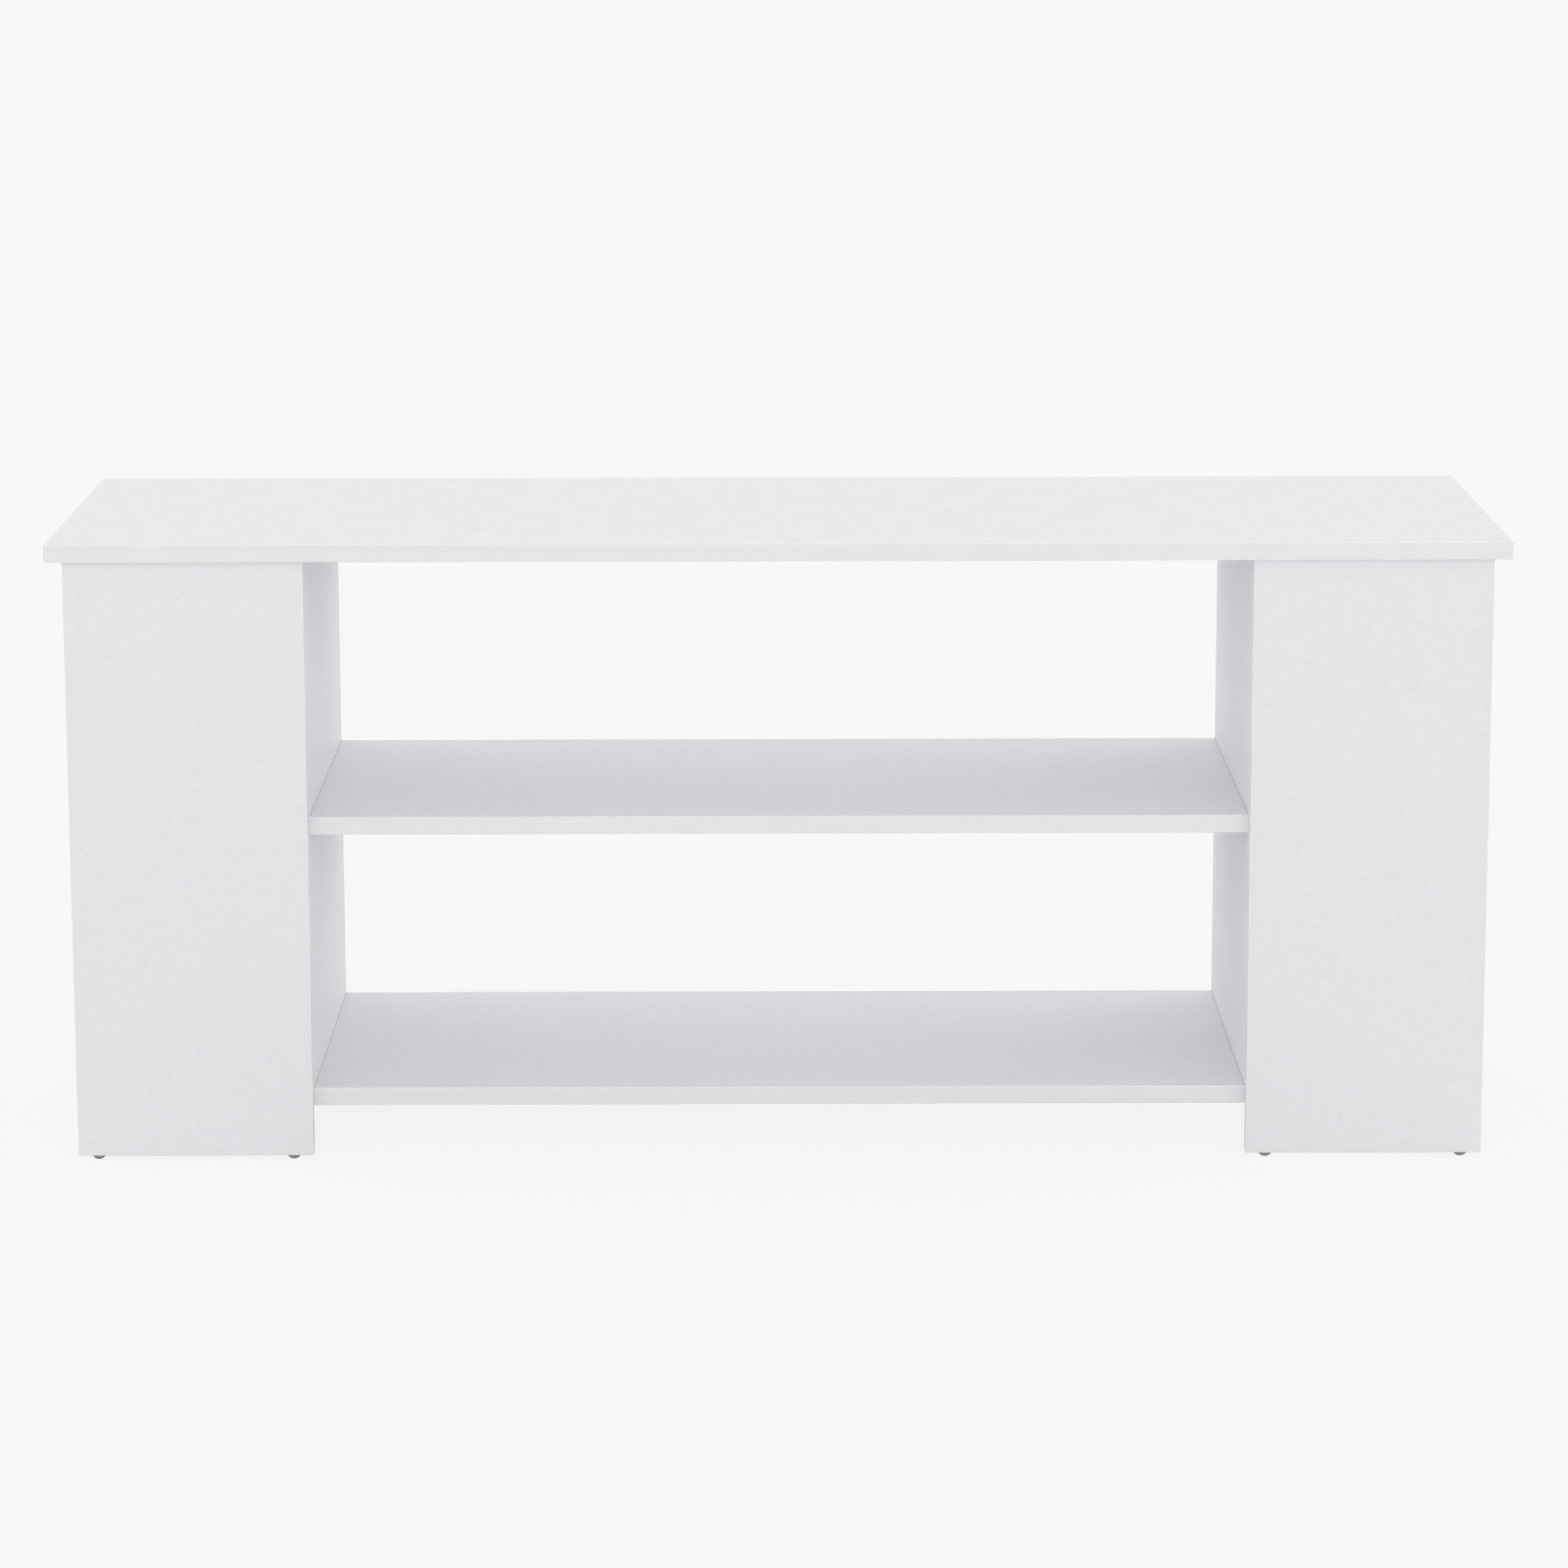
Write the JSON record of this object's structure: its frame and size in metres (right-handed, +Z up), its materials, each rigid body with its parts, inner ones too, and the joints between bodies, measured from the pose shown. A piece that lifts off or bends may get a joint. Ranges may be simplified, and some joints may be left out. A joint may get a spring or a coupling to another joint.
{
  "type": "console table",
  "caption": "Low white knock-down console table with open middle shelves between column ends, held by cam locks and dowels and standing on nailed glides.",
  "frame": {"origin": "on the floor, under the middle of the top", "axes": "+X along the length, to the right seen from the front; +Y from the front to the back; +Z up"},
  "size_m": [1.22, 0.4, 0.529],
  "materials": {
    "top_melamine": "white melamine with a fine embossed wood grain along the length",
    "panel_melamine": "white melamine with a fine matt pebble",
    "edge_band": "smooth white edge band with eased corners",
    "glide_plastic": "grey moulded plastic",
    "zinc": "bright die-cast zinc",
    "steel": "zinc-plated steel",
    "beech": "plain beech dowel"
  },
  "bodies": {
    "root": {"bottom_shelf": "panel_melamine", "bottom_shelf_edge_band": "edge_band", "cam_bolts": "steel", "cam_locks": "zinc", "end_floor_left": "panel_melamine", "end_floor_left_edge_band": "edge_band", "end_floor_right": "panel_melamine", "end_floor_right_edge_band": "edge_band", "end_shelf_left": "panel_melamine", "end_shelf_left_edge_band": "edge_band", "end_shelf_right": "panel_melamine", "end_shelf_right_edge_band": "edge_band", "floor_glides": "glide_plastic", "front_panel_left": "panel_melamine", "front_panel_left_edge_band": "edge_band", "front_panel_right": "panel_melamine", "front_panel_right_edge_band": "edge_band", "glide_nails": "steel", "middle_shelf": "panel_melamine", "middle_shelf_edge_band": "edge_band", "partition_left": "panel_melamine", "partition_left_edge_band": "edge_band", "partition_right": "panel_melamine", "partition_right_edge_band": "edge_band", "rear_panel_left": "panel_melamine", "rear_panel_left_edge_band": "edge_band", "rear_panel_right": "panel_melamine", "rear_panel_right_edge_band": "edge_band", "top_panel": "top_melamine", "top_panel_edge_band": "edge_band", "wood_dowels": "beech"}
  },
  "joints": []
}
